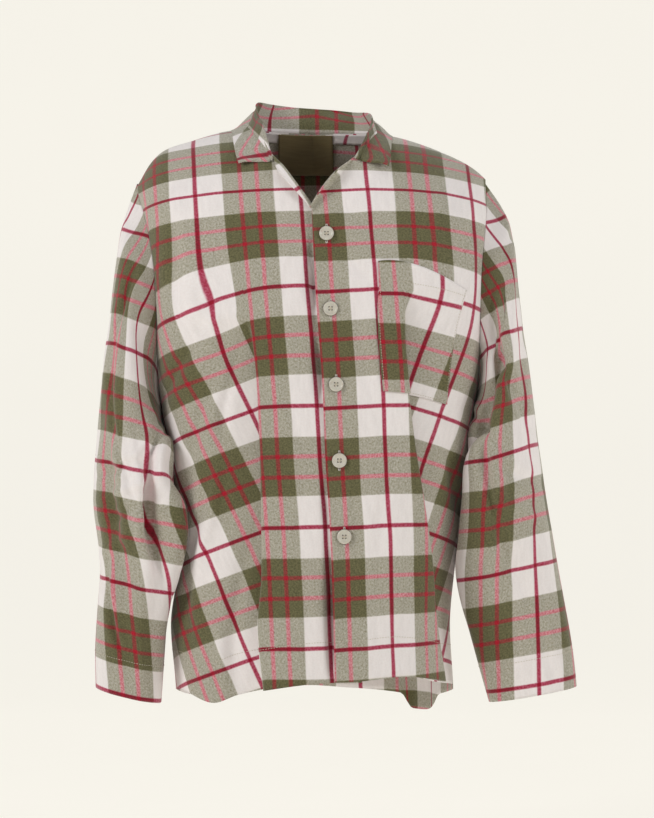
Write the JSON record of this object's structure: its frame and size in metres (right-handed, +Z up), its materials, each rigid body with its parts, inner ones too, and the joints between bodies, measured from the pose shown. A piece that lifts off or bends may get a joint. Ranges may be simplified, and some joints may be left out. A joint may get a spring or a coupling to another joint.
{
  "type": "pajama top",
  "caption": "Loose plaid flannel pajama shirt with a camp collar, open front placket, patch pocket and long sleeves, filled out as when worn.",
  "frame": {"origin": "middle of the line across the wearer's shoulders, level with the shoulder seams beside the neck", "axes": "+X to the wearer's left, the front faces -Y, +Z up"},
  "size_m": [0.6134, 0.2683, 0.7923],
  "materials": {
    "flannel": "brushed cotton flannel, matte, plaid",
    "label": "woven satin, bare",
    "button": "pale pearl, polished"
  },
  "bodies": {
    "root": {"front_right": "flannel", "front_left": "flannel", "back": "flannel", "sleeve_right": "flannel", "sleeve_left": "flannel", "collar": "flannel", "pocket": "flannel", "neck_facing": "flannel", "label": "label", "button_1": "button", "button_2": "button", "button_3": "button", "button_4": "button", "button_5": "button"}
  },
  "joints": []
}
